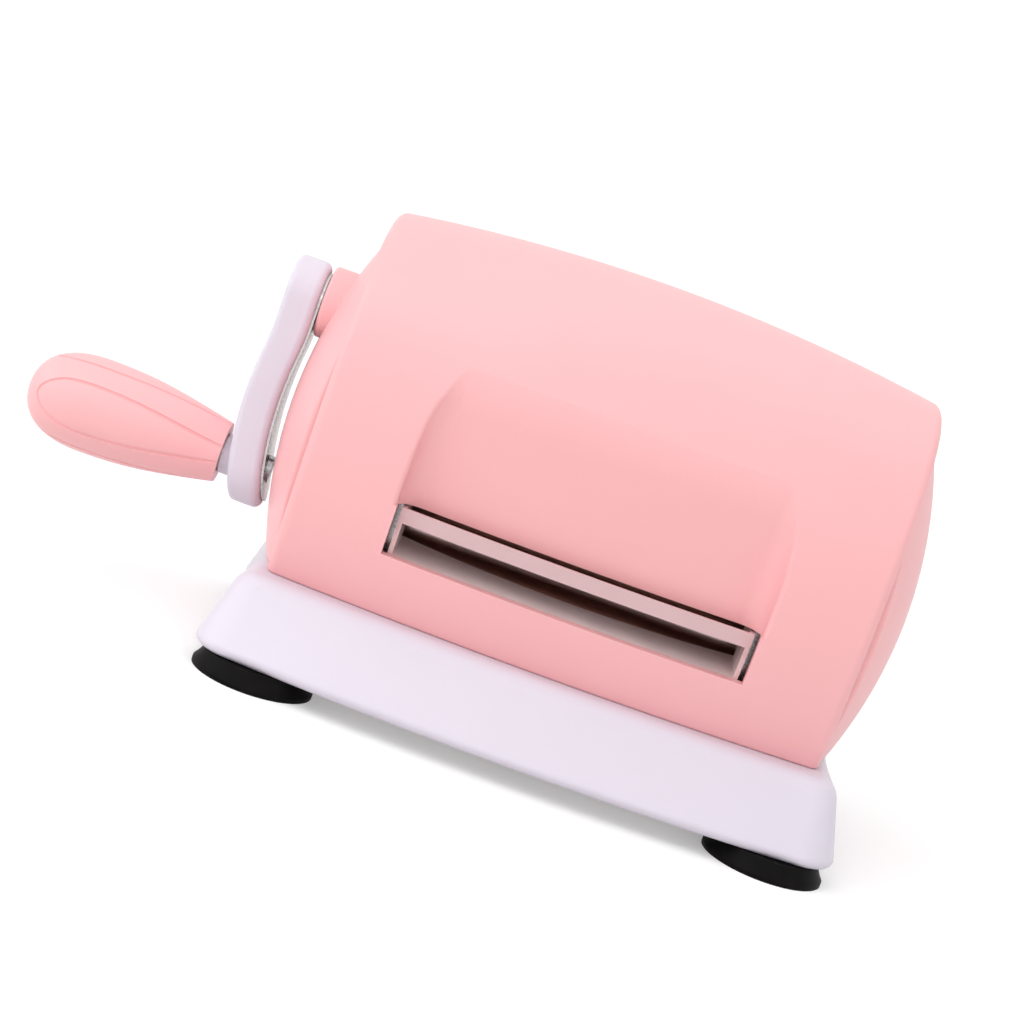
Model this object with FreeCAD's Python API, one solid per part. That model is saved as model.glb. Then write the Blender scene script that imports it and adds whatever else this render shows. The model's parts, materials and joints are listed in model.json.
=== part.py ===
import FreeCAD, Part
import math
import os

V = FreeCAD.Vector

# A small hand cranked die cutting and embossing machine, in millimetres.
# X runs along the rollers with the crank at -X, Y from front to back, Z up.
# The origin is on the table, at the middle of the four suction feet.

# Housing, two shells that meet on the ridge of a crowned barrel
shell_side_room = 22.1
shell_head_room = 15.9
shell_half_depth = 38.0
shell_tuck = 7.0
belly_rise = 35.0
shell_crown = 4.8
shell_wall = 3.0
shell_end_round = 2.2
shell_foot_round = 0.8
seam_gap = 0.1
tongue_reach = 3.0
tongue_thickness = 1.4
tongue_gap = 0.1
shell_boss_radius = 3.3
shell_boss_height = 13.0
shell_rib = 2.0

# Feed slot and the scoop above it
slot_half_width = 40.2
slot_floor_rise = 13.6
slot_height = 11.1
scoop_margin = 0.2
scoop_height = 38.2
scoop_depth = 7.6
scoop_wall = 2.2
scoop_merge = 0.3
scoop_round = 5.0
scoop_fade = 7.0
scoop_edge_round = 1.0

# End covers
dome_bulge = 8.55
dome_side_step = 1.27
dome_top_sink = 1.2
dome_low = 3.0
cover_wall = 2.5
cover_gap = 0.25
cover_spigot = 2.5
cover_rim_round = 0.8
cover_boss_radius = 3.5
cover_screw_y = 17.0
cover_screw_rise = 6.5
peg_radius = 1.8
peg_length = 2.2
peg_gap = 0.15
peg_y = 12.0
crank_boss_wall = 1.5
crank_boss_inset = 2.0
crank_boss_round = 0.8
crank_boss_proud = 0.35

# Base shell and base plate
base_bottom = 4.2
base_height = 16.8
deck_margin_x = 2.7
deck_margin_y = 2.0
deck_bow = 3.2
skirt_flare_x = 5.3
skirt_flare_y = 9.5
skirt_extra_bow = 3.8
side_waist = 2.4
deck_corner_radius = 6.0
skirt_corner_radius = 11.0
base_shoulder = 4.8
base_hem = 1.5
base_wall = 2.5
deck_opening_gap = 0.6
base_plate_recess = 0.7
base_plate_thickness = 2.0
base_plate_gap = 0.4
column_radius = 4.0
column_inset = 6.0
column_y = 17.0

# Suction feet with their studs and nuts
foot_inset_x = 13.2
foot_inset_y = 8.5
foot_lip_radius = 13.3
foot_lip_width = 1.1
foot_lip_height = 0.9
foot_neck_radius = 11.4
foot_flare = 1.0
foot_shoulder_radius = 7.0
foot_shoulder_gap = 0.1
foot_cup_depth = 1.9
foot_cup_floor_radius = 5.0
stud_radius = 2.0
stud_length = 5.5
stud_flange_radius = 3.6
stud_flange_height = 1.0
stud_cover = 0.9
foot_nut_width = 7.0
foot_nut_height = 3.2

# Side frames and tie rods
passage_gap = 0.9
frame_thickness = 3.4
frame_front_gap = 0.8
frame_head = 12.5
frame_top_round = 8.0
frame_flange_reach = 14.0
frame_flange_thickness = 3.0
tie_rod_radius = 3.5
tie_rod_low_inset = 7.0
tie_rod_low_rise = 7.6
tie_rod_high_inset = 5.0
tie_rod_high_drop = 7.5

# Rollers, nip and gears
roller_radius = 10.2
nip_gap = 3.0
roller_proud = 0.2
roller_end_play = 0.3
journal_radius = 5.0
running_gap = 0.03
bush_wall = 2.0
outer_bush_wall = 1.5
bush_flange_width = 1.5
bush_flange_thickness = 1.5
gear_side_play = 0.3
gear_width = 7.5
coupling_teeth = 16
drive_teeth = 26
pinion_teeth = 12
pinion_width = 9.0
pressure_angle = math.radians(25)
backlash = 0.2
key_width = 3.0
key_height = 2.4
key_sink = 1.2
circlip_width = 1.0
circlip_sink = 0.4
circlip_rim = 1.6
circlip_mouth = 2.4
journal_overhang = 1.2

# Feed trays between the slot and the rollers
tray_sheet = 1.0
tray_side_gap = 0.2
tray_front_gap = 0.4
tray_lip_drop = 0.5
tray_guard_height = 3.3
tray_roller_gap = 3.9
tray_floor_bow = 7.6
tray_wall_gap = 1.0
tray_screw_inset = 6.0
tray_tab_reach = 5.0
tray_tab_depth = 8.3
tray_screw_drop = 5.3

# Crank arm, its plate and its screw
crank_radius = 39.3
arm_gap = 0.3
arm_plate_thickness = 1.5
arm_plate_proud = 0.5
arm_cover_thickness = 6.5
arm_flat_margin = 0.3
arm_ramp_length = 7.0
arm_ramp_slope = 0.13
arm_belly_pull = 0.2
arm_end_draw = 6.0
arm_hub_radius = 8.1
arm_end_radius = 9.1
arm_outer_round = 1.4
arm_inner_round = 1.8
arm_plate_edge = 2.0
arm_plate_gap = 0.15
tenon_cut = 1.0
tenon_shy = 0.1
hub_pocket_depth = 4.1
crank_washer_radius = 5.5
crank_washer_thickness = 1.0
crank_washer_gap = 0.7

# Handle grip on its spindle
neck_radius = 4.5
neck_proud = 2.2
grip_gap = 0.3
grip_length = 45.0
grip_end_radius = 6.8
grip_belly_radius = 10.7
grip_belly_share = 0.665
spindle_radius = 3.0
spindle_gap = 0.05
spindle_collar_radius = 4.0
spindle_collar_length = 2.0
collar_gap = 0.3
rivet_clearance = 0.35
grip_pocket_radius = 5.0
grip_pocket_depth = 10.4
grip_cap_thickness = 5.5
grip_cap_gap = 0.05
grip_washer_radius = 4.5
grip_washer_thickness = 1.0
petal_count = 4
petal_tip_margin = 3.3
petal_turn = math.radians(4)
petal_end_angle = math.radians(15)
petal_wide_angle = math.radians(30)
petal_groove_radius = 0.4

# Screws: shank radius, head radius, head height
small_screw = (1.5, 2.8, 1.8)
medium_screw = (2.0, 3.5, 2.5)
tie_screw_length = 10.0
frame_screw_length = 6.0
frame_screw_y = 8.0
tray_screw_length = 5.4
cover_screw_length = 12.0
housing_screw_grip = 10.0
housing_screw_room = 0.5
crank_screw_length = 10.0
grip_screw_length = 8.0
clearance_over_shank = 0.15

# Heights of the base, the slot, the axes and the housing
deck_height = base_bottom + base_height
belly_height = deck_height + belly_rise
slot_floor = deck_height + slot_floor_rise
slot_top = slot_floor + slot_height
scoop_top = slot_top + scoop_height
base_plate_bottom = base_bottom + base_plate_recess
base_plate_top = base_plate_bottom + base_plate_thickness
deck_underside = deck_height - base_wall
lower_axis = slot_floor + roller_proud - roller_radius
upper_axis = lower_axis + 2 * roller_radius + nip_gap
gear_module = (upper_axis - lower_axis) / coupling_teeth
crank_axis = upper_axis + gear_module * (drive_teeth + pinion_teeth) / 2
frame_top = crank_axis + frame_head
shell_top = frame_top + shell_head_room
cover_top = shell_top - shell_crown - shell_wall - cover_gap
cover_screw_z = crank_axis + cover_screw_rise
tie_low_z = base_plate_top + tie_rod_low_rise
tie_high_z = crank_axis - tie_rod_high_drop
tray_screw_z = slot_floor - tray_screw_drop
handle_axis = crank_axis - crank_radius
dome_middle = belly_height - dome_low

# Half widths along X
shell_half_width = slot_half_width + shell_side_room
scoop_half_width = slot_half_width + scoop_margin
passage_half_width = slot_half_width - passage_gap
frame_outer = passage_half_width + frame_thickness
frame_screw_x = passage_half_width - frame_flange_reach / 2
gear_inner = frame_outer + bush_flange_thickness + gear_side_play
gear_outer = gear_inner + gear_width
pinion_outer = gear_inner + pinion_width
journal_end = gear_outer + circlip_width + journal_overhang
bush_clip_x = frame_outer + bush_flange_thickness + gear_side_play / 2
cover_inner = shell_half_width - cover_spigot
column_x = shell_half_width - column_inset
deck_half_width = shell_half_width + deck_margin_x
skirt_half_width = deck_half_width + skirt_flare_x
foot_x = skirt_half_width - foot_inset_x
dome_reach = shell_half_width + dome_bulge
boss_face = dome_reach + crank_boss_proud
dome_plan_drop = dome_bulge - dome_side_step
dome_rise_drop = dome_bulge + dome_top_sink
arm_inner = boss_face + arm_gap
arm_plate_outer = arm_inner + arm_plate_thickness
crank_screw_seat = arm_plate_outer + crank_washer_thickness

# Half depths along Y
shell_foot_depth = shell_half_depth - shell_tuck
deck_corner_depth = shell_foot_depth + deck_margin_y
deck_mid_depth = deck_corner_depth + deck_bow
skirt_corner_depth = deck_corner_depth + skirt_flare_y
skirt_mid_depth = deck_mid_depth + skirt_flare_y + skirt_extra_bow
foot_y = skirt_corner_depth - foot_inset_y
cover_half_depth = shell_half_depth - shell_crown - shell_wall - cover_gap
dome_plan_radius = (cover_half_depth ** 2 + dome_plan_drop ** 2) / (2 * dome_plan_drop)

# Radii round the journals
bush_radius = journal_radius + bush_wall
bush_flange_radius = bush_radius + bush_flange_width
outer_bush_radius = journal_radius + outer_bush_wall
crank_boss_radius = outer_bush_radius + crank_boss_wall
circlip_bed = journal_radius - circlip_sink
circlip_outer = journal_radius + circlip_rim
key_bed = journal_radius - key_sink
hub_pocket_radius = crank_washer_radius + crank_washer_gap

# Along the grip, from its inner end
grip_belly_place = grip_length * grip_belly_share

# Reach of a cutter through the whole machine, and past the edge of one piece
far = 200.0
over = 1.0

# Edges and places nearer than this are the same
touch = 0.01
near = 0.05


def box(x0, x1, y0, y1, z0, z1):
    return Part.makeBox(x1 - x0, y1 - y0, z1 - z0, V(x0, y0, z0))


def rod(radius, x0, x1, y, z):
    """Round bar along X."""
    return Part.makeCylinder(radius, x1 - x0, V(x0, y, z), V(1, 0, 0))


def post(radius, z0, z1, x, y):
    """Round bar along Z."""
    return Part.makeCylinder(radius, z1 - z0, V(x, y, z0), V(0, 0, 1))


def flipped(shape):
    """The same shape on the other side, left for right."""
    return shape.mirror(V(0, 0, 0), V(1, 0, 0))


def turned_back(shape):
    """The same shape on the other side, front for back."""
    return shape.mirror(V(0, 0, 0), V(0, 1, 0))


def bezier(*poles):
    curve = Part.BezierCurve()
    curve.setPoles([V(*pole) for pole in poles])
    return curve.toShape()


def line(start, end):
    return Part.LineSegment(V(*start), V(*end)).toShape()


def arc(start, middle, end):
    return Part.Arc(V(*start), V(*middle), V(*end)).toShape()


def polygon_face(points):
    corners = [V(*point) for point in points]
    return Part.Face(Part.makePolygon(corners + corners[:1]))


def hexagon_prism(flats, height):
    radius = flats / math.sqrt(3)
    corners = [
        (radius * math.cos(k * math.pi / 3), radius * math.sin(k * math.pi / 3), 0)
        for k in range(6)
    ]
    return polygon_face(corners).extrude(V(0, 0, height))


def screw(size, length, place, direction):
    """Socket head screw: the head's underside is at place, the shank goes along direction."""
    shank_radius, head_radius, head_height = size
    shank = Part.makeCylinder(shank_radius, length)
    head = Part.makeCylinder(head_radius, head_height, V(0, 0, -head_height))
    rim = [edge for edge in head.Edges if edge.BoundBox.ZMax < touch - head_height]
    head = head.makeFillet(head_height / 5, rim)
    socket = hexagon_prism(head_radius, head_height * 0.6)
    socket.translate(V(0, 0, -head_height))
    whole = shank.fuse(head).cut(socket)
    turn = FreeCAD.Rotation(V(0, 0, 1), V(*direction))
    whole.Placement = FreeCAD.Placement(V(*place), turn)
    return whole


def ring(inner, outer, x0, x1, y, z):
    return rod(outer, x0, x1, y, z).cut(rod(inner, x0, x1, y, z))


# Housing

def crown_drop(x):
    """How far the crowned housing draws in at x."""
    return shell_crown * (x / shell_half_width) ** 2


def front_depth(x, z):
    """Half depth of the housing at x and height z."""
    depth = shell_half_depth - crown_drop(x)
    if z > belly_height:
        rise = (z - belly_height) / (shell_top - crown_drop(x) - belly_height)
        return depth * (1 - (1 - math.sqrt(1 - rise)) ** 2)
    fall = (belly_height - z) / (belly_height - deck_height)
    return depth - shell_tuck * fall ** 2


def housing_section(x, inset, drop=0.0):
    """Outline of the housing across x, drawn in by inset, with legs of length drop."""
    shrink = crown_drop(x) + inset
    depth = shell_half_depth - shrink
    foot = shell_foot_depth - shrink
    top = shell_top - shrink
    knee = (belly_height + deck_height) / 2
    low = deck_height - drop
    edges = [
        bezier((x, -foot, deck_height), (x, -depth, knee), (x, -depth, belly_height)),
        bezier((x, -depth, belly_height), (x, -depth, top), (x, 0, top)),
        bezier((x, 0, top), (x, depth, top), (x, depth, belly_height)),
        bezier((x, depth, belly_height), (x, depth, knee), (x, foot, deck_height)),
    ]
    if drop:
        edges.append(line((x, foot, deck_height), (x, foot, low)))
    edges.append(line((x, foot, low), (x, -foot, low)))
    if drop:
        edges.append(line((x, -foot, low), (x, -foot, deck_height)))
    return Part.Wire(edges)


def housing_block(inset, reach, drop=0.0):
    """Crowned barrel between x = -reach and reach."""
    sections = [housing_section(x, inset, drop) for x in (-reach, 0.0, reach)]
    return Part.makeLoft(sections, True)


def rounded_housing_block():
    block = housing_block(0.0, shell_half_width)
    ends = [
        edge for edge in block.Edges
        if edge.BoundBox.XLength < touch and edge.BoundBox.ZMax > deck_height + touch
    ]
    block = block.makeFillet(shell_end_round, ends)
    hems = [
        edge for edge in block.Edges
        if edge.BoundBox.ZMax < deck_height + touch and edge.BoundBox.XLength > shell_half_width
    ]
    return block.makeFillet(shell_foot_round, hems)


def scoop_points(x, back):
    """Lower end, start of the bend, knee and upper end of the scoop's floor at x.

    The floor runs up to the front surface and bends into it; back moves it inwards."""
    low = (scoop_depth - front_depth(x, slot_top), slot_top)
    high = (-front_depth(x, scoop_top), scoop_top)
    step = 0.1
    slope = (front_depth(x, scoop_top - step) - front_depth(x, scoop_top)) / step
    knee = (high[0] - slope * scoop_fade, scoop_top - scoop_fade)
    share = scoop_fade / (knee[1] - low[1])
    bend_start = (knee[0] + share * (low[0] - knee[0]), knee[1] - scoop_fade)
    return [(x, y + back, z) for y, z in (low, bend_start, knee, high)]


def scoop_section(x, back):
    """Outline of the scoop across x, from its floor to in front of the housing."""
    low, bend_start, knee, high = scoop_points(x, back)
    end = tuple(2 * b - a for a, b in zip(knee, high))
    front = -shell_half_depth - scoop_depth
    return Part.Wire([
        line(low, bend_start),
        bezier(bend_start, knee, high),
        line(high, end),
        line(end, (x, front, end[2])),
        line((x, front, end[2]), (x, front, low[2])),
        line((x, front, low[2]), low),
    ])


def scoop_block(reach, back):
    sections = [scoop_section(x, back) for x in (-reach, 0.0, reach)]
    return Part.makeLoft(sections, True)


def scoop_cutter():
    """Hollow above the slot, deepest at the slot's top edge, that fades into the front."""
    hollow = scoop_block(scoop_half_width, -scoop_merge)
    floor_sides = [
        edge for edge in hollow.Edges
        if edge.BoundBox.XLength < touch
        and edge.BoundBox.YMin > -shell_half_depth - scoop_depth + touch
        and edge.BoundBox.ZLength > touch
    ]
    return hollow.makeFillet(scoop_round, floor_sides)


def scoop_backing():
    """Wall behind the scoop's floor and beside it."""
    return scoop_block(scoop_half_width + shell_wall, scoop_wall)


def beside_scoop(edge):
    """True for an edge where a flat side of the scoop meets the housing's front."""
    middle = edge.valueAt((edge.FirstParameter + edge.LastParameter) / 2)
    at_side = abs(abs(middle.x) - scoop_half_width) < touch
    return at_side and abs(middle.y + front_depth(middle.x, middle.z)) < near


def scooped(block):
    """The block with a scoop in front whose outline is rounded over."""
    block = block.cut(scoop_cutter())
    rim = [
        edge for edge in block.Edges
        if edge.BoundBox.ZMin > slot_top - near
        and edge.BoundBox.ZLength > near
        and beside_scoop(edge)
    ]
    return block.makeFillet(scoop_edge_round, rim)


def shell_bosses():
    """Screw bosses at the housing's foot, each with a rib to the wall."""
    bosses = []
    top = deck_height + shell_boss_height
    for x in (-column_x, column_x):
        for side in (-1, 1):
            boss = post(shell_boss_radius, deck_height, top, x, side * column_y)
            low_y, high_y = sorted((side * column_y, side * shell_half_depth))
            rib = box(x - shell_rib / 2, x + shell_rib / 2, low_y, high_y, deck_height, top)
            bosses.append(boss.fuse(rib))
    return bosses


def housing():
    """Both shells in one, before they are parted on the ridge."""
    outer = rounded_housing_block()
    outer = turned_back(scooped(turned_back(scooped(outer))))
    backing = scoop_backing()
    room = housing_block(shell_wall, shell_half_width + over, over)
    room = room.cut([backing, turned_back(backing)] + shell_bosses())
    slot = box(-slot_half_width, slot_half_width, -far, far, slot_floor, slot_top)
    cutters = [room, slot]
    top = deck_height + housing_screw_grip + housing_screw_room
    for x in (-column_x, column_x):
        for y in (-column_y, column_y):
            cutters.append(post(small_screw[0], deck_height, top, x, y))
    return outer.cut(cutters)


def tongue_band(inset, depth, reach):
    """Inner layer of the wall beside the ridge, up to reach behind it."""
    half = shell_half_width - 2 * shell_wall
    layer = housing_block(inset, half).cut(housing_block(inset + depth, half + over))
    return layer.common(box(-far, far, -tongue_reach, reach, belly_height, far))


def shells():
    whole = housing()
    front = whole.common(box(-far, far, -far, -seam_gap / 2, 0, far))
    rear = whole.common(box(-far, far, seam_gap / 2, far, 0, far))
    inset = shell_wall - tongue_thickness
    tongue = tongue_band(inset, tongue_thickness, tongue_reach)
    groove = tongue_band(inset - tongue_gap, shell_wall, tongue_reach + tongue_gap)
    groove = groove.common(box(-far, far, 0, far, 0, far))
    return front.fuse(tongue), rear.cut(groove)


# End covers

def dome_x(z, inset=0.0):
    """X of the end cover's bulge at height z, drawn in by inset."""
    rise = cover_top - dome_middle
    radius = (rise ** 2 + dome_rise_drop ** 2) / (2 * dome_rise_drop)
    return dome_reach - radius + math.sqrt((radius - inset) ** 2 - (z - dome_middle) ** 2)


def dome(inset):
    """Barrel about an upright axis; its side is the bulge of an end cover."""
    axis = dome_reach - dome_plan_radius
    low = deck_height - shell_wall
    high = shell_top + shell_wall
    bottom, middle, top = [(dome_x(z, inset), 0, z) for z in (low, dome_middle, high)]
    outline = Part.Wire([
        arc(bottom, middle, top),
        line(top, (axis, 0, high)),
        line((axis, 0, high), (axis, 0, low)),
        line((axis, 0, low), bottom),
    ])
    return Part.Face(outline).revolve(V(axis, 0, 0), V(0, 0, 1), 360)


def cover_prism(inset, start):
    """Prism of the end cover's outline, from x = start outwards."""
    face = Part.Face(housing_section(shell_half_width, shell_wall + cover_gap + inset))
    face.translate(V(start - shell_half_width, 0, 0))
    return face.extrude(V(far, 0, 0))


def end_cover():
    """The right end cover; the left one starts from its mirror image."""
    shell = cover_prism(0.0, cover_inner).common(dome(0.0))
    rim = [
        edge for edge in shell.Edges
        if edge.BoundBox.XMin > cover_inner + near and edge.BoundBox.ZMax > deck_height + near
    ]
    shell = shell.makeFillet(cover_rim_round, rim)
    hollow = cover_prism(cover_wall, cover_inner - over).common(dome(cover_wall))
    hollow = hollow.common(box(0, far, -far, far, deck_height + cover_wall, far))
    shell = shell.cut(hollow)
    inside = dome(cover_wall / 2)
    hole = small_screw[0]
    for side in (-1, 1):
        y = side * cover_screw_y
        boss = rod(cover_boss_radius, frame_outer, far, y, cover_screw_z).common(inside)
        depth = frame_outer + cover_screw_length
        shell = shell.fuse(boss).cut(rod(hole, frame_outer, depth, y, cover_screw_z))
        shell = shell.fuse(peg(side, 0.0))
    return shell.removeSplitter()


def peg(side, gap):
    """Locating peg under the right end cover, or with a gap the hole for it."""
    x = cover_inner + cover_wall
    return post(peg_radius + gap, deck_height - peg_length, deck_height + cover_wall / 2, x,
                side * peg_y)


def crank_boss():
    """Round boss on the left end cover, drawn at +X, and the hole for its bush."""
    start = cover_inner + crank_boss_inset
    boss = rod(crank_boss_radius, start, boss_face, 0, crank_axis)
    edge = [edge for edge in boss.Edges if edge.BoundBox.XMin > boss_face - touch]
    return boss.makeFillet(crank_boss_round, edge)


def left_cover():
    cover = end_cover().fuse(crank_boss())
    cover = cover.cut(rod(outer_bush_radius, cover_inner, far, 0, crank_axis))
    return flipped(cover.removeSplitter())


# Base

def base_outline(z, inset):
    """Outline of the flared base at height z, drawn in by inset, with sharp corners."""
    share = (deck_height - z) / (deck_height - base_bottom)
    half = deck_half_width + share * (skirt_half_width - deck_half_width) - inset
    corner = deck_corner_depth + share * (skirt_corner_depth - deck_corner_depth) - inset
    middle = deck_mid_depth + share * (skirt_mid_depth - deck_mid_depth) - inset
    side = half + side_waist
    return Part.Wire([
        arc((-side, -corner, z), (0, -middle, z), (side, -corner, z)),
        arc((side, -corner, z), (half, 0, z), (side, corner, z)),
        arc((side, corner, z), (0, middle, z), (-side, corner, z)),
        arc((-side, corner, z), (-half, 0, z), (-side, -corner, z)),
    ])


def base_block(low, high, inset):
    """Flared block with rounded corners, between two heights."""
    block = Part.makeLoft([base_outline(low, inset), base_outline(high, inset)], True, True)
    corners = [edge for edge in block.Edges if edge.BoundBox.ZLength > (high - low) / 2]
    for corner in corners:
        middle = corner.CenterOfMass
        match = [
            edge for edge in block.Edges
            if edge.BoundBox.ZLength > (high - low) / 2
            and edge.CenterOfMass.distanceToPoint(middle) < touch
        ]
        radii = [deck_corner_radius - inset, skirt_corner_radius - inset]
        if match[0].firstVertex().Z < match[0].lastVertex().Z:
            radii.reverse()
        block = block.makeFillet(radii[0], radii[1], match)
    return block


def base_shell():
    block = base_block(base_bottom, deck_height, 0.0)
    shoulder = [edge for edge in block.Edges if edge.BoundBox.ZMin > deck_height - touch]
    block = block.makeFillet(base_shoulder, shoulder)
    hem = [edge for edge in block.Edges if edge.BoundBox.ZMax < base_bottom + touch]
    block = block.makeFillet(base_hem, hem)
    shell = block.cut(base_block(base_bottom - 2 * over, deck_underside, base_wall))
    columns = [
        post(column_radius, base_plate_top, deck_underside + base_wall / 2, x, y)
        for x in (-column_x, column_x)
        for y in (-column_y, column_y)
    ]
    shell = shell.fuse(columns)
    opening_x = column_x - column_radius
    opening_y = frame_half_depth() + deck_opening_gap
    journal_x = journal_end + deck_opening_gap
    journal_y = circlip_outer + deck_opening_gap
    cutters = [
        box(-opening_x, opening_x, -opening_y, opening_y, base_bottom, far),
        box(-journal_x, journal_x, -journal_y, journal_y, base_bottom, far),
    ]
    for x in (-column_x, column_x):
        for y in (-column_y, column_y):
            cutters.append(post(small_screw[0] + clearance_over_shank, 0, far, x, y))
    for side in (-1, 1):
        hole = peg(side, peg_gap)
        cutters += [hole, flipped(hole)]
    return shell.cut(cutters).removeSplitter()


def base_plate():
    outline = Part.Face(base_outline(base_plate_top, base_wall + base_plate_gap))
    outline.translate(V(0, 0, base_plate_bottom - base_plate_top))
    plate = outline.extrude(V(0, 0, base_plate_thickness))
    corners = [edge for edge in plate.Edges if edge.BoundBox.ZLength > base_plate_thickness / 2]
    plate = plate.makeFillet(skirt_corner_radius - base_wall, corners)
    cutters = []
    for x in (-1, 1):
        for y in (-1, 1):
            cutters.append(post(stud_radius, 0, far, x * foot_x, y * foot_y))
            housing_hole = small_screw[0] + clearance_over_shank
            cutters.append(post(housing_hole, 0, far, x * column_x, y * column_y))
            frame_hole = medium_screw[0] + clearance_over_shank
            cutters.append(post(frame_hole, 0, far, x * frame_screw_x, y * frame_screw_y))
    return plate.cut(cutters)


# Feet

def foot(x, y):
    """Suction foot: a flared rubber cup with a moulded-in stud flange."""
    top = base_plate_bottom
    step = base_bottom - foot_shoulder_gap
    cup_radius = foot_lip_radius - foot_lip_width
    flange_top = top - stud_cover
    outline = Part.Wire([
        line((0, 0, foot_cup_depth), (foot_cup_floor_radius, 0, foot_cup_depth)),
        bezier((foot_cup_floor_radius, 0, foot_cup_depth),
               (cup_radius - foot_cup_depth, 0, foot_cup_depth), (cup_radius, 0, 0)),
        line((cup_radius, 0, 0), (foot_lip_radius, 0, 0)),
        line((foot_lip_radius, 0, 0), (foot_lip_radius, 0, foot_lip_height)),
        bezier((foot_lip_radius, 0, foot_lip_height),
               (foot_neck_radius + foot_flare, 0, foot_lip_height + foot_flare),
               (foot_neck_radius, 0, step)),
        line((foot_neck_radius, 0, step), (foot_shoulder_radius, 0, step)),
        line((foot_shoulder_radius, 0, step), (foot_shoulder_radius, 0, top)),
        line((foot_shoulder_radius, 0, top), (0, 0, top)),
        line((0, 0, top), (0, 0, foot_cup_depth)),
    ])
    cup = Part.Face(outline).revolve(V(0, 0, 0), V(0, 0, 1), 360)
    cup.translate(V(x, y, 0))
    room = post(stud_flange_radius, flange_top - stud_flange_height, flange_top, x, y)
    return cup.cut([room, post(stud_radius, flange_top, far, x, y)])


def foot_stud(x, y):
    flange_top = base_plate_bottom - stud_cover
    flange = post(stud_flange_radius, flange_top - stud_flange_height, flange_top, x, y)
    return flange.fuse(post(stud_radius, flange_top, base_plate_top + stud_length, x, y))


def foot_nut(x, y):
    nut = hexagon_prism(foot_nut_width, foot_nut_height)
    nut.translate(V(x, y, base_plate_top))
    return nut.cut(post(stud_radius, 0, far, x, y))


# Side frames

def frame_half_depth():
    """The frames reach to just behind the scoop's inner wall at the slot."""
    inner = front_depth(scoop_half_width, slot_top) - scoop_depth - scoop_wall
    return inner - frame_front_gap


def tray_screw_y():
    return frame_half_depth() - tray_screw_inset


def frame_holes():
    """Holes through a side frame: radius, y and z."""
    small_hole = small_screw[0] + clearance_over_shank
    tie_hole = medium_screw[0] + clearance_over_shank
    holes = [(bush_radius, 0, z) for z in (lower_axis, upper_axis, crank_axis)]
    holes += [(tie_hole, y, z) for y, z in tie_places()]
    for side in (-1, 1):
        holes.append((small_hole, side * tray_screw_y(), tray_screw_z))
        holes.append((small_hole, side * cover_screw_y, cover_screw_z))
    return holes


def side_frame():
    """The right side frame with its flange turned in under the rollers."""
    deep = frame_half_depth()
    plate = box(passage_half_width, frame_outer, -deep, deep, base_plate_top, frame_top)
    corners = [
        edge for edge in plate.Edges
        if edge.BoundBox.XLength > frame_thickness / 2 and edge.BoundBox.ZMin > crank_axis
    ]
    plate = plate.makeFillet(frame_top_round, corners)
    flange = box(passage_half_width - frame_flange_reach, passage_half_width, -deep, deep,
                 base_plate_top, base_plate_top + frame_flange_thickness)
    frame = plate.fuse(flange)
    cutters = [rod(radius, 0, far, y, z) for radius, y, z in frame_holes()]
    for y in (-frame_screw_y, frame_screw_y):
        cutters.append(post(medium_screw[0], 0, far, frame_screw_x, y))
    return frame.cut(cutters).removeSplitter()


def tie_places():
    low_y = frame_half_depth() - tie_rod_low_inset
    high_y = frame_half_depth() - tie_rod_high_inset
    return [(-low_y, tie_low_z), (low_y, tie_low_z), (-high_y, tie_high_z), (high_y, tie_high_z)]


def tie_rods():
    rods = []
    depth = passage_half_width - (tie_screw_length - frame_thickness)
    for y, z in tie_places():
        bar = rod(tie_rod_radius, -passage_half_width, passage_half_width, y, z)
        ends = [rod(medium_screw[0], depth, far, y, z), rod(medium_screw[0], -far, -depth, y, z)]
        rods.append(bar.cut(ends))
    return Part.makeCompound(rods)


def tie_rod_screws():
    screws = []
    for y, z in tie_places():
        screws.append(screw(medium_screw, tie_screw_length, (frame_outer, y, z), (-1, 0, 0)))
        screws.append(screw(medium_screw, tie_screw_length, (-frame_outer, y, z), (1, 0, 0)))
    return Part.makeCompound(screws)


def frame_screws():
    return Part.makeCompound([
        screw(medium_screw, frame_screw_length, (x * frame_screw_x, y, base_plate_bottom),
              (0, 0, 1))
        for x in (-1, 1)
        for y in (-frame_screw_y, frame_screw_y)
    ])


def housing_screws():
    length = deck_height - base_plate_bottom + housing_screw_grip
    return Part.makeCompound([
        screw(small_screw, length, (x, y, base_plate_bottom), (0, 0, 1))
        for x in (-column_x, column_x)
        for y in (-column_y, column_y)
    ])


def cover_screws():
    return Part.makeCompound([
        screw(small_screw, cover_screw_length, (side * passage_half_width, y, cover_screw_z),
              (side, 0, 0))
        for side in (-1, 1)
        for y in (-cover_screw_y, cover_screw_y)
    ])


# Feed trays

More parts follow.
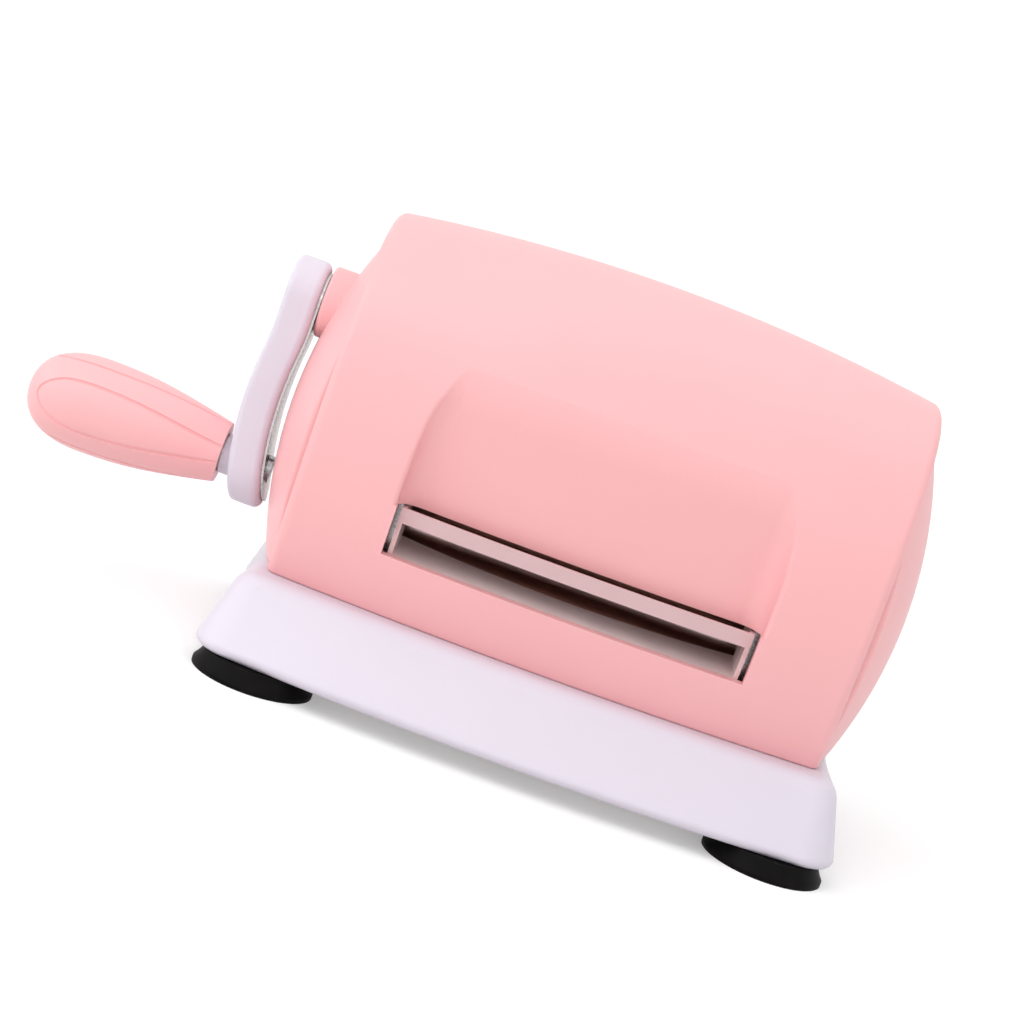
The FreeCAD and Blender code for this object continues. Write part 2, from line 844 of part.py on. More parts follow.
def feed_tray():
    """Front tray: floor, side walls, a guard strip over its mouth and two screw tabs."""
    half = passage_half_width - tray_side_gap
    inner = half - tray_sheet
    floor_low = slot_floor - tray_sheet
    wall_top = slot_top - tray_lip_drop
    mouth = shell_wall + tray_front_gap
    edge_rise = floor_low - lower_axis
    floor_end = math.sqrt(roller_radius ** 2 - edge_rise ** 2) + tray_roller_gap
    wall_end = roller_radius + tray_wall_gap
    front = -shell_half_depth
    bow_radius = (half ** 2 + tray_floor_bow ** 2) / (2 * tray_floor_bow)
    bow = post(bow_radius, floor_low, slot_floor, 0, bow_radius - tray_floor_bow - floor_end)
    guard = box(-half, half, front, 0, wall_top - tray_guard_height, wall_top)
    guard = guard.cut(housing_block(mouth + tray_sheet, shell_half_width))
    tray = box(-half, half, front, 0, floor_low, slot_floor).cut(bow).fuse(guard)
    tab_low = floor_low - tray_tab_depth
    screw_y = tray_screw_y()
    for low_x in (-half, inner):
        high_x = low_x + tray_sheet
        tray = tray.fuse([
            box(low_x, high_x, front, -wall_end, floor_low, wall_top),
            box(low_x, high_x, -screw_y - tray_tab_reach, -screw_y + tray_tab_reach, tab_low,
                floor_low),
        ])
    tray = tray.common(housing_block(mouth, shell_half_width))
    return tray.cut(rod(small_screw[0], -far, far, -screw_y, tray_screw_z)).removeSplitter()


def feed_tray_screws():
    return Part.makeCompound([
        screw(small_screw, tray_screw_length, (side * frame_outer, y, tray_screw_z),
              (-side, 0, 0))
        for side in (-1, 1)
        for y in (-tray_screw_y(), tray_screw_y())
    ])


# Gears, keys and circlips

def involute(angle):
    return math.tan(angle) - angle


def gear(teeth, x0, x1, z, first_tooth):
    """Spur gear about an axis along X; first_tooth is one tooth's angle from straight up."""
    pitch = gear_module * teeth / 2
    tip = pitch + gear_module
    root = pitch - 1.25 * gear_module
    base = pitch * math.cos(pressure_angle)
    half = math.pi / (2 * teeth) - backlash / (4 * pitch)

    def place(radius, angle):
        return (x0, radius * math.sin(angle), z + radius * math.cos(angle))

    def flank_angle(radius):
        roll = math.acos(base / radius)
        return half + involute(pressure_angle) - involute(roll)

    start = max(base, root)
    steps = 6
    radii = [start + (tip - start) * (k / steps) ** 1.5 for k in range(steps + 1)]
    edges = []
    for tooth in range(teeth):
        centre = first_tooth + 2 * math.pi * tooth / teeth
        rise = [V(*place(radius, centre - flank_angle(radius))) for radius in radii]
        fall = [V(*place(radius, centre + flank_angle(radius))) for radius in reversed(radii)]
        foot_angle = flank_angle(start)
        gap_angle = 2 * math.pi / teeth - 2 * foot_angle
        if base > root:
            edges.append(line(place(root, centre - foot_angle), place(start, centre - foot_angle)))
        edges.append(spline(rise))
        edges.append(arc(tuple(rise[-1]), place(tip, centre), tuple(fall[0])))
        edges.append(spline(fall))
        if base > root:
            edges.append(line(place(start, centre + foot_angle), place(root, centre + foot_angle)))
        edges.append(arc(
            place(root, centre + foot_angle),
            place(root, centre + foot_angle + gap_angle / 2),
            place(root, centre + foot_angle + gap_angle),
        ))
    face = Part.Face(Part.Wire(Part.__sortEdges__(edges)))
    blank = face.extrude(V(x1 - x0, 0, 0))
    return blank.cut([rod(journal_radius, x0, x1, 0, z), key(x0, x1, z)])


def spline(points):
    curve = Part.BSplineCurve()
    curve.interpolate(points)
    return curve.toShape()


def key(x0, x1, z):
    """Parallel key above the axis at height z."""
    half = key_width / 2
    return box(x0, x1, -half, half, z + key_bed, z + key_bed + key_height)


def circlip(x0, z):
    whole = ring(circlip_bed, circlip_outer, x0, x0 + circlip_width, 0, z)
    half = circlip_mouth / 2
    return whole.cut(box(x0, x0 + circlip_width, -half, half, z - circlip_outer, z))


def circlip_groove(x0, z):
    return ring(circlip_bed, journal_radius + over, x0, x0 + circlip_width, 0, z)


def bush(z):
    """Flanged bush in the right side frame."""
    barrel = rod(bush_radius, passage_half_width, frame_outer, 0, z)
    flange = rod(bush_flange_radius, frame_outer, frame_outer + bush_flange_thickness, 0, z)
    whole = barrel.fuse(flange)
    return whole.cut(rod(journal_radius + running_gap, 0, far, 0, z)).removeSplitter()


def roller_bushes():
    pair = [bush(lower_axis), bush(upper_axis)]
    return Part.makeCompound(pair + [flipped(one) for one in pair])


def crank_bushes():
    frame_bush = bush(crank_axis)
    outer_bush = ring(journal_radius + running_gap, outer_bush_radius,
                      cover_inner + crank_boss_inset, boss_face - tenon_shy, 0, crank_axis)
    return Part.makeCompound([frame_bush, flipped(frame_bush), flipped(outer_bush)])


def roller(z, left_end):
    """Roller with a gear seat on its right journal, and its left journal up to left_end."""
    body_end = passage_half_width - roller_end_play
    whole = rod(roller_radius, -body_end, body_end, 0, z)
    whole = whole.fuse(rod(journal_radius, -left_end, journal_end, 0, z))
    return whole.cut([circlip_groove(gear_outer, z), key(gear_inner, gear_outer, z)])


def upper_roller():
    """Its left journal carries the drive gear."""
    whole = roller(upper_axis, journal_end)
    seat = [circlip_groove(gear_outer, upper_axis), key(gear_inner, gear_outer, upper_axis)]
    return whole.cut([flipped(cutter) for cutter in seat]).removeSplitter()


def lower_roller():
    """Its left journal stops in its bush, clear of the drive gear."""
    left_end = frame_outer + bush_flange_thickness - gear_side_play
    return roller(lower_axis, left_end).removeSplitter()


# Crank, drawn at +X and flipped to the left

def double_d(x0, x1):
    half = journal_radius - tenon_cut
    flat = box(x0, x1, -far, far, crank_axis - half, crank_axis + half)
    return rod(journal_radius, x0, x1, 0, crank_axis).common(flat)


def crank_shaft():
    far_end = bush_clip_x + circlip_width + journal_overhang
    bar = rod(journal_radius, -far_end, arm_inner, 0, crank_axis)
    bar = bar.fuse(double_d(arm_inner, arm_plate_outer - tenon_shy))
    cutters = [
        flipped(circlip_groove(bush_clip_x, crank_axis)),
        circlip_groove(pinion_outer, crank_axis),
        key(gear_inner, pinion_outer, crank_axis),
        rod(medium_screw[0], crank_screw_seat - crank_screw_length, far, 0, crank_axis),
    ]
    return flipped(bar.cut(cutters).removeSplitter())


def arm_curve():
    """Poles of the arm's inner face below its hub, as X from the hub's face and height."""
    top = crank_axis - crank_washer_radius - arm_flat_margin
    knee = top - arm_ramp_length
    low = handle_axis - 2 * arm_end_radius
    out = arm_ramp_slope * arm_ramp_length / 2
    step = (knee - low) / 3
    ramp = [(0.0, top), (0.0, (top + knee) / 2), (out, knee)]
    belly = [(out, knee), (out + arm_ramp_slope * step, knee - step),
             (arm_belly_pull, knee - 2 * step), (-arm_end_draw, low)]
    return ramp, belly


def arm_x(z):
    """X of the arm's inner face at height z."""
    for poles in arm_curve():
        high, low = poles[0][1], poles[-1][1]
        if low <= z <= high:
            share = (high - z) / (high - low)
            steps = len(poles) - 1
            return arm_inner + sum(
                math.comb(steps, k) * share ** k * (1 - share) ** (steps - k) * pole[0]
                for k, pole in enumerate(poles)
            )
    return arm_inner


def neck_end():
    """Where the neck round the spindle ends, just proud of the arm's outer face."""
    return arm_x(handle_axis) + arm_plate_thickness + arm_cover_thickness + neck_proud


def grip_start():
    return neck_end() + grip_gap


def grip_tip():
    return grip_start() + grip_length


def arm_slab(near, away):
    """Slab that curves round the end cover, between two distances from its inner face."""
    high = crank_axis + 2 * arm_hub_radius
    reach = 2 * arm_end_radius
    ramp, belly = arm_curve()
    edges = []
    for distance in (near, away):
        x = arm_inner + distance
        edges.append(line((x, -reach, high), (x, -reach, ramp[0][1])))
        for poles in (ramp, belly):
            edges.append(bezier(*[(x + out, -reach, z) for out, z in poles]))
    for out, z in ((0.0, high), belly[-1]):
        x = arm_inner + out
        edges.append(line((x + near, -reach, z), (x + away, -reach, z)))
    face = Part.Face(Part.Wire(Part.__sortEdges__(edges)))
    return face.extrude(V(0, 2 * reach, 0))


def arm_outline(hub, end):
    """Prism along X of a tapered bar with round ends, from the hub to the handle."""
    tilt = math.asin((end - hub) / crank_radius)
    hub_y, hub_z = hub * math.cos(tilt), crank_axis + hub * math.sin(tilt)
    end_y, end_z = end * math.cos(tilt), handle_axis + end * math.sin(tilt)
    x = dome_reach / 2
    outline = Part.Wire([
        arc((x, hub_y, hub_z), (x, 0, crank_axis + hub), (x, -hub_y, hub_z)),
        line((x, -hub_y, hub_z), (x, -end_y, end_z)),
        arc((x, -end_y, end_z), (x, 0, handle_axis - end), (x, end_y, end_z)),
        line((x, end_y, end_z), (x, hub_y, hub_z)),
    ])
    return Part.Face(outline).extrude(V(dome_reach, 0, 0))


def arm_rim(slab, distance):
    """Edges round the arm's face at a distance from its inner face."""
    def lies_on(edge):
        ends = [edge.valueAt(edge.FirstParameter), edge.valueAt(edge.LastParameter)]
        return all(abs(point.x - arm_x(point.z) - distance) < near for point in ends)

    def runs_across(edge):
        return edge.BoundBox.YLength > near and edge.BoundBox.ZLength < touch

    return [edge for edge in slab.Edges if lies_on(edge) and not runs_across(edge)]


def spindle_hole(x0, x1):
    return rod(spindle_radius, x0, x1, 0, handle_axis)


def arm_cover():
    thick = arm_plate_thickness + arm_cover_thickness
    core = arm_slab(arm_plate_proud, thick).common(arm_outline(arm_hub_radius, arm_end_radius))
    core = core.makeFillet(arm_outer_round, arm_rim(core, thick))
    core = core.makeFillet(arm_inner_round, arm_rim(core, arm_plate_proud))
    inset = arm_plate_edge - arm_plate_gap
    pocket = arm_slab(0.0, arm_plate_thickness).common(
        arm_outline(arm_hub_radius - inset, arm_end_radius - inset))
    neck_root = arm_plate_outer + arm_cover_thickness / 2
    neck = rod(neck_radius, neck_root - arm_cover_thickness / 4, neck_end(), 0, handle_axis)
    hub_room = rod(hub_pocket_radius, 0, arm_plate_outer + hub_pocket_depth, 0, crank_axis)
    whole = core.fuse(neck).cut([pocket, hub_room, spindle_hole(0, far)])
    return flipped(whole.removeSplitter())


def arm_plate():
    plate = arm_slab(0.0, arm_plate_thickness)
    outline = arm_outline(arm_hub_radius - arm_plate_edge, arm_end_radius - arm_plate_edge)
    plate = plate.common(outline)
    seat = rod(spindle_radius, 0, far, 0, handle_axis)
    return flipped(plate.cut([double_d(0, far), seat]).removeSplitter())


def crank_washer():
    outer = crank_screw_seat
    return flipped(ring(medium_screw[0], crank_washer_radius, arm_plate_outer, outer, 0,
                        crank_axis))


def crank_screw():
    place = (-crank_screw_seat, 0, crank_axis)
    return screw(medium_screw, crank_screw_length, place, (1, 0, 0))


# Handle, drawn at +X and flipped to the left

def rivet_face():
    """Where the spindle's riveted end stops short of the end cover."""
    return dome_x(handle_axis + spindle_radius) + rivet_clearance


def handle_spindle():
    end = grip_tip() - grip_pocket_depth + grip_gap
    bar = rod(spindle_radius, rivet_face(), end, 0, handle_axis)
    collar = rod(spindle_collar_radius, neck_end(), neck_end() + spindle_collar_length, 0,
                 handle_axis)
    hole = rod(small_screw[0], end - grip_screw_length, far, 0, handle_axis)
    return flipped(bar.fuse(collar).cut(hole).removeSplitter())


def grip_poles():
    """Poles of the two curves of the grip's profile, as distance along it and radius."""
    belly, place = grip_belly_radius, grip_belly_place
    tip = grip_length
    tail = [(0, grip_end_radius), (0.47 * place, 0.92 * belly), (0.67 * place, belly),
            (place, belly)]
    nose = [(place, belly), (place + 0.63 * (tip - place), belly), (tip, 0.66 * belly),
            (tip, 0)]
    return tail, nose


def bezier_point(poles, share):
    """Point at a share of a cubic curve."""
    rest = 1 - share
    weights = (rest ** 3, 3 * share * rest ** 2, 3 * share ** 2 * rest, share ** 3)
    return tuple(sum(w * pole[axis] for w, pole in zip(weights, poles)) for axis in (0, 1))


def grip_radius(along):
    """Radius of the grip at a distance along it, by halving on its profile."""
    tail, nose = grip_poles()
    poles = tail if along < grip_belly_place else nose
    low, high = 0.0, 1.0
    for _ in range(40):
        middle = (low + high) / 2
        if bezier_point(poles, middle)[0] < along:
            low = middle
        else:
            high = middle
    return bezier_point(poles, low)[1]


def grip_form():
    tail, nose = grip_poles()

    def placed(poles):
        return [(grip_start() + along, 0, handle_axis + radius) for along, radius in poles]

    outline = Part.Wire([
        bezier(*placed(tail)),
        bezier(*placed(nose)),
        line((grip_tip(), 0, handle_axis), (grip_start(), 0, handle_axis)),
        line((grip_start(), 0, handle_axis), (grip_start(), 0, handle_axis + grip_end_radius)),
    ])
    return Part.Face(outline).revolve(V(0, 0, handle_axis), V(1, 0, 0), 360)


def petal_angle(along):
    """Half angle of a petal at a distance along the grip."""
    end = grip_length - petal_tip_margin
    if along < grip_belly_place:
        share = along / grip_belly_place
        swell = math.sin(share * math.pi / 2)
        return petal_end_angle + (petal_wide_angle - petal_end_angle) * swell
    share = (along - grip_belly_place) / (end - grip_belly_place)
    return petal_wide_angle * math.sqrt(max(0.0, 1 - share ** 3))


def petal_loop(centre):
    """Groove tool: a thin tube along a petal's outline on the grip's surface."""
    end = grip_length - petal_tip_margin
    steps = 9
    tail = [grip_belly_place * k / 5 - over for k in range(5)]
    nose = [grip_belly_place + (end - grip_belly_place) * math.sin(k * math.pi / 2 / steps)
            for k in range(steps)]
    side = [(along, petal_angle(max(along, 0))) for along in tail + nose]
    path = side + [(end, 0.0)] + [(along, -angle) for along, angle in reversed(side)]
    points = []
    for along, angle in path:
        radius = grip_radius(max(along, 0))
        turn = centre + angle
        points.append(V(grip_start() + along, radius * math.sin(turn),
                        handle_axis + radius * math.cos(turn)))
    spine = Part.Wire(spline(points))
    start, ahead = points[0], points[1]
    circle = Part.Circle(start, ahead.sub(start), petal_groove_radius).toShape()
    return spine.makePipeShell([Part.Wire(circle)], True, False)


def handle_grip():
    grip = grip_form()
    collar_room = rod(spindle_collar_radius + collar_gap, grip_start(),
                      neck_end() + spindle_collar_length + collar_gap, 0, handle_axis)
    bore = rod(spindle_radius + spindle_gap, grip_start(), grip_tip(), 0, handle_axis)
    pocket = rod(grip_pocket_radius, grip_tip() - grip_pocket_depth, far, 0, handle_axis)
    grip = grip.cut([collar_room, bore, pocket])
    for petal in range(petal_count):
        grip = grip.cut(petal_loop(petal_turn + 2 * math.pi * petal / petal_count))
    return flipped(grip)


def grip_cap():
    start = grip_tip() - grip_cap_thickness
    plug = rod(grip_pocket_radius - grip_cap_gap, start, far, 0, handle_axis)
    return flipped(grip_form().common(plug))


def grip_washer_seat():
    return grip_tip() - grip_pocket_depth + grip_gap


def handle_washer():
    start = grip_washer_seat()
    return flipped(ring(small_screw[0], grip_washer_radius, start,
                        start + grip_washer_thickness, 0, handle_axis))


def handle_screw():
    place = -grip_washer_seat() - grip_washer_thickness
    length = grip_screw_length + grip_washer_thickness
    return screw(small_screw, length, (place, 0, handle_axis), (1, 0, 0))


def feet():
    places = {
        "front_left": (-foot_x, -foot_y),
        "front_right": (foot_x, -foot_y),
        "rear_left": (-foot_x, foot_y),
        "rear_right": (foot_x, foot_y),
    }
    nodes = {"suction_foot_" + name: foot(x, y) for name, (x, y) in places.items()}
    nodes["foot_studs"] = Part.makeCompound([foot_stud(x, y) for x, y in places.values()])
    nodes["foot_nuts"] = Part.makeCompound([foot_nut(x, y) for x, y in places.values()])
    return nodes


def gears():
    """Gears in mesh at rest: a tooth points at each gap."""
    half_gap = math.pi / drive_teeth
    coupling_half_gap = math.pi / coupling_teeth
    return {
        "crank_pinion": flipped(gear(pinion_teeth, gear_inner, pinion_outer, crank_axis, math.pi)),
        "drive_gear": flipped(gear(drive_teeth, gear_inner, gear_outer, upper_axis, half_gap)),
        "upper_coupling_gear": gear(coupling_teeth, gear_inner, gear_outer, upper_axis, math.pi),
        "lower_coupling_gear": gear(coupling_teeth, gear_inner, gear_outer, lower_axis,
                                    coupling_half_gap),
        "crank_pinion_key": flipped(key(gear_inner, pinion_outer, crank_axis)),
        "drive_gear_key": flipped(key(gear_inner, gear_outer, upper_axis)),
        "upper_coupling_key": key(gear_inner, gear_outer, upper_axis),
        "lower_coupling_key": key(gear_inner, gear_outer, lower_axis),
    }


def machine():
    """Every node of the machine by name."""
    front_shell, rear_shell = shells()
    frame = side_frame()
    tray = feed_tray()
    nodes = {
        "front_shell": front_shell,
        "rear_shell": rear_shell,
        "left_end_cover": left_cover(),
        "right_end_cover": end_cover(),
        "base_shell": base_shell(),
        "base_plate": base_plate(),
        "left_side_frame": flipped(frame),
        "right_side_frame": frame,
        "tie_rods": tie_rods(),
        "tie_rod_screws": tie_rod_screws(),
        "frame_screws": frame_screws(),
        "housing_screws": housing_screws(),
        "cover_screws": cover_screws(),
        "front_feed_tray": tray,
        "rear_feed_tray": turned_back(tray),
        "feed_tray_screws": feed_tray_screws(),
        "roller_bushes": roller_bushes(),
        "crank_bushes": crank_bushes(),
        "upper_roller": upper_roller(),
        "upper_roller_circlips": Part.makeCompound([
            circlip(gear_outer, upper_axis), flipped(circlip(gear_outer, upper_axis)),
        ]),
        "lower_roller": lower_roller(),
        "lower_roller_circlip": circlip(gear_outer, lower_axis),
        "crank_shaft": crank_shaft(),
        "crank_shaft_circlips": Part.makeCompound([
            circlip(bush_clip_x, crank_axis), flipped(circlip(pinion_outer, crank_axis)),
        ]),
        "crank_arm_plate": arm_plate(),
        "crank_arm_cover": arm_cover(),
        "crank_screw": crank_screw(),
        "crank_washer": crank_washer(),
        "handle_spindle": handle_spindle(),
        "handle_grip": handle_grip(),
        "handle_cap": grip_cap(),
        "handle_screw": handle_screw(),
        "handle_washer": handle_washer(),
    }
    nodes.update(feet())
    nodes.update(gears())
    return nodes


os.makedirs("parts", exist_ok=True)
for node, shape in machine().items():
    shape.exportStep("parts/" + node + ".step")
    solids = len(shape.Solids)
    print(node, "solids", solids, "volume", round(shape.Volume, 1), "valid", shape.isValid())
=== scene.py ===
import json
import math

import bpy
from mathutils import Matrix, Vector

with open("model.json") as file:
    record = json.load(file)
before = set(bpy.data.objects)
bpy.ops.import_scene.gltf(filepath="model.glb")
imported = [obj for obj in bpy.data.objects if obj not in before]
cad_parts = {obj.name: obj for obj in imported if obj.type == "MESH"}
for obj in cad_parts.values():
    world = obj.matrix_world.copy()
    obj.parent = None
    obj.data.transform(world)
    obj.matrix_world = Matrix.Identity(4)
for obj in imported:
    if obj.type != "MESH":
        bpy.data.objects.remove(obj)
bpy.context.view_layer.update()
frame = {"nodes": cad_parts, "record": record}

# The scene shows a small hand cranked die cutting and embossing machine on a white
# studio sweep, in metres. Every shape comes from the frame; this script adds the
# finish of each surface, the light, the floor and the camera.

MM = 0.001

# Camera, set to the photograph's viewing angle
IMAGE_SIDE = 1024
SENSOR_WIDTH = 36.0
FOCAL_PIXELS = 3072.3
CAMERA_PLACE = (-0.0143, -0.6600, 0.1755)
CAMERA_PITCH = math.radians(11.105)
CAMERA_YAW = math.radians(-0.277)
CAMERA_ROLL = math.radians(19.889)

# Colours, linear
PINK = (0.96, 0.482, 0.495)
PINK_PALE = (0.97, 0.51, 0.52)
WHITE = (0.732, 0.685, 0.772)
WHITE_SHADED = (0.708, 0.66, 0.75)
RUBBER = (0.004, 0.0035, 0.0035)
RUBBER_WORN = (0.012, 0.011, 0.011)
ZINC = (0.56, 0.52, 0.52)
# Roller colour is painted shade and painted reflection: dark, brown-red steel for the shade
# inside the slot and the pink housing it reflects
ROLLER_PAINTED_SHADE = (0.50, 0.33, 0.29)
SHEET = (0.70, 0.48, 0.49)
# Pale sheet colour: painted light on the low part of the feed tray, and the colour of its worn
# edges
SHEET_PAINTED_LIGHT_AND_WEAR = (0.97, 0.80, 0.79)
TURNED = (0.46, 0.45, 0.45)
BRONZE = (0.58, 0.38, 0.18)

# Height, above the table, up to which the feed tray is fully painted pale as painted light on
# the shaded tray floor, and above which the painted light has faded out
SHEET_PAINTED_LIGHT_HEIGHT = 35 * MM
SHEET_PAINTED_LIGHT_END = 41 * MM

# Features of the finishes: size of noise cells, reach of the wear, and depth of the bumps
FLOW_SHADE = 45 * MM
FLOW_SPECK = 0.9 * MM
SPARK_GRAIN = 0.32 * MM
BLOOM_PATCH = 6 * MM
RUBBER_GRAIN = 0.5 * MM
STAIN_PATCH = 9 * MM
ZINC_GRAIN = 0.6 * MM
ROLLED_GRAIN = 0.25 * MM
TURNED_GRAIN = 0.2 * MM
PAPER_FIBRE = 4 * MM
PLASTIC_WEAR = 0.45 * MM
RUBBER_WEAR = 0.5 * MM
METAL_WEAR = 0.25 * MM
MOULDED_DEPTH = 0.03 * MM
METAL_DEPTH = 0.01 * MM

# Scale of the noise along each axis: a small number draws it out along that axis
EVEN = (1.0, 1.0, 1.0)
ALONG_X = (0.05, 1.0, 1.0)
ALONG_Y = (1.0, 0.05, 1.0)
ROUND_X = (1.0, 0.06, 0.06)

# Light: strength of the world, lift of the floor's white, and the lamps
WORLD_LEVEL = 1.39
FLOOR_GLOW = 0.28
LAMP_TARGET = (0.0, 0.0, 0.05)
# name, place, width and height, power in watts
LAMPS = (
    ("key", (-0.65, -0.75, 0.95), (0.8, 0.7), 3.6),
    ("fill", (-0.95, -0.1, 0.4), (0.6, 0.5), 1.7),
    ("front", (0.15, -1.3, 0.45), (0.9, 0.6), 2.4),
)

# Floor and backdrop: flat radius, radius of the bend, top of the wall, sides of the ring
FLOOR_RADIUS = 0.9
BEND_RADIUS = 0.5
BACKDROP_TOP = 2.2
SWEEP_SIDES = 64
PAPER = (0.78, 0.78, 0.78)
PAPER_PALE = (0.80, 0.80, 0.80)


# Camera

def place_camera():
    data = bpy.data.cameras.new("camera")
    data.sensor_width = SENSOR_WIDTH
    data.lens = FOCAL_PIXELS / IMAGE_SIDE * SENSOR_WIDTH
    data.clip_start = 0.01
    data.clip_end = 20.0
    camera = bpy.data.objects.new("camera", data)
    bpy.context.scene.collection.objects.link(camera)
    turn = (
        Matrix.Rotation(-CAMERA_YAW, 4, "Z")
        @ Matrix.Rotation(math.pi / 2 - CAMERA_PITCH, 4, "X")
        @ Matrix.Rotation(CAMERA_ROLL, 4, "Z")
    )
    camera.matrix_world = Matrix.Translation(CAMERA_PLACE) @ turn
    bpy.context.scene.camera = camera


# Finishes

class Shader:
    """Node tree of one material, with its texture place in the object's own metres."""

    def __init__(self, name):
        self.material = bpy.data.materials.new(name)
        self.material.use_nodes = True
        self.tree = self.material.node_tree
        self.tree.nodes.clear()
        self.output = self.add("ShaderNodeOutputMaterial")

    def add(self, kind, **settings):
        node = self.tree.nodes.new(kind)
        for key, value in settings.items():
            setattr(node, key, value)
        return node

    def link(self, source, target):
        self.tree.links.new(source, target)

    def place(self, scale=EVEN):
        coordinates = self.add("ShaderNodeTexCoord")
        mapping = self.add("ShaderNodeMapping")
        mapping.inputs["Scale"].default_value = scale
        self.link(coordinates.outputs["Object"], mapping.inputs["Vector"])
        return mapping.outputs["Vector"]

    def noise(self, size, detail=2.0, stretch=EVEN):
        """Noise with features of about that size in metres."""
        node = self.add("ShaderNodeTexNoise")
        node.inputs["Scale"].default_value = 1.0 / size
        node.inputs["Detail"].default_value = detail
        self.link(self.place(stretch), node.inputs["Vector"])
        return node.outputs["Fac"]

    def ramp(self, value, low, high, out_low, out_high):
        node = self.add("ShaderNodeMapRange")
        node.inputs["From Min"].default_value = low
        node.inputs["From Max"].default_value = high
        node.inputs["To Min"].default_value = out_low
        node.inputs["To Max"].default_value = out_high
        self.link(value, node.inputs["Value"])
        return node.outputs["Result"]

    def math(self, operation, first, second):
        node = self.add("ShaderNodeMath", operation=operation)
        for socket, value in zip(node.inputs, (first, second)):
            if isinstance(value, (int, float)):
                socket.default_value = value
            else:
                self.link(value, socket)
        return node.outputs["Value"]

    def blend(self, share, first, second):
        node = self.add("ShaderNodeMix", data_type="RGBA")
        self.link(share, node.inputs["Factor"])
        for socket, value in ((node.inputs[6], first), (node.inputs[7], second)):
            if isinstance(value, tuple):
                socket.default_value = (*value, 1.0)
            else:
                self.link(value, socket)
        return node.outputs[2]

    def edges(self, radius):
        """Share of wear: near 1 on an edge sharper than the radius, 0 on flat faces."""
        bevel = self.add("ShaderNodeBevel", samples=4)
        bevel.inputs["Radius"].default_value = radius
        geometry = self.add("ShaderNodeNewGeometry")
        dot = self.add("ShaderNodeVectorMath", operation="DOT_PRODUCT")
        self.link(bevel.outputs["Normal"], dot.inputs[0])
        self.link(geometry.outputs["Normal"], dot.inputs[1])
        return self.ramp(dot.outputs["Value"], 0.99, 0.80, 0.0, 1.0)

    def bump(self, height, strength, distance):
        node = self.add("ShaderNodeBump")
        node.inputs["Strength"].default_value = strength
        node.inputs["Distance"].default_value = distance
        self.link(height, node.inputs["Height"])
        return node.outputs["Normal"]

    def principled(self, colour, roughness, normal, **values):
        node = self.add("ShaderNodeBsdfPrincipled")
        self.link(colour, node.inputs["Base Color"])
        self.link(roughness, node.inputs["Roughness"])
        self.link(normal, node.inputs["Normal"])
        for name, value in values.items():
            node.inputs[name.replace("_", " ")].default_value = value
        self.link(node.outputs["BSDF"], self.output.inputs["Surface"])
        return self.material


def moulded_plastic(name, colour, second, roughness):
    """Satin injection moulded plastic: spark grain, faint flow shade, rubbed edges."""
    shader = Shader(name)
    flow = shader.noise(FLOW_SHADE, 2.0)
    speck = shader.noise(FLOW_SPECK, 3.0)
    edge = shader.edges(PLASTIC_WEAR)
    share = shader.ramp(flow, 0.35, 0.65, 0.0, 0.35)
    base = shader.blend(share, colour, second)
    share = shader.math("MULTIPLY", edge, 0.5)
    pale = tuple(min(1.0, c * 1.06 + 0.02) for c in second)
    base = shader.blend(share, base, pale)
    rough = shader.ramp(speck, 0.3, 0.7, roughness - 0.03, roughness + 0.04)
    rough = shader.math("SUBTRACT", rough, shader.math("MULTIPLY", edge, 0.06))
    grain = shader.noise(SPARK_GRAIN, 2.0)
    normal = shader.bump(grain, 0.12, MOULDED_DEPTH)
    return shader.principled(base, rough, normal, Specular_IOR_Level=0.42)


def rubber(name):
    """Moulded rubber: matt black with a dull bloom, greyer on the rubbed lips."""
    shader = Shader(name)
    bloom = shader.noise(BLOOM_PATCH, 4.0)
    edge = shader.edges(RUBBER_WEAR)
    share = shader.ramp(bloom, 0.45, 0.75, 0.0, 0.5)
    base = shader.blend(share, RUBBER, RUBBER_WORN)
    base = shader.blend(shader.math("MULTIPLY", edge, 0.6), base, RUBBER_WORN)
    rough = shader.ramp(bloom, 0.3, 0.7, 0.45, 0.6)
    normal = shader.bump(shader.noise(RUBBER_GRAIN, 2.0), 0.15, MOULDED_DEPTH)
    return shader.principled(base, rough, normal, Specular_IOR_Level=0.06)


def metal(name, colour, roughness, grain, stretch, strength):
    """Bare metal with grain drawn out along the axis where stretch is small."""
    shader = Shader(name)
    streak = shader.noise(grain, 3.0, stretch)
    stain = shader.noise(STAIN_PATCH, 3.0)
    edge = shader.edges(METAL_WEAR)
    dull = tuple(c * 0.82 for c in colour)
    bright = tuple(min(1.0, c * 1.15) for c in colour)
    base = shader.blend(shader.ramp(stain, 0.35, 0.7, 0.0, 0.6), colour, dull)
    base = shader.blend(shader.math("MULTIPLY", edge, 0.25), base, bright)
    rough = shader.ramp(streak, 0.3, 0.7, roughness * 0.8, roughness * 1.25)
    normal = shader.bump(streak, strength, METAL_DEPTH)
    return shader.principled(base, rough, normal, Metallic=1.0)


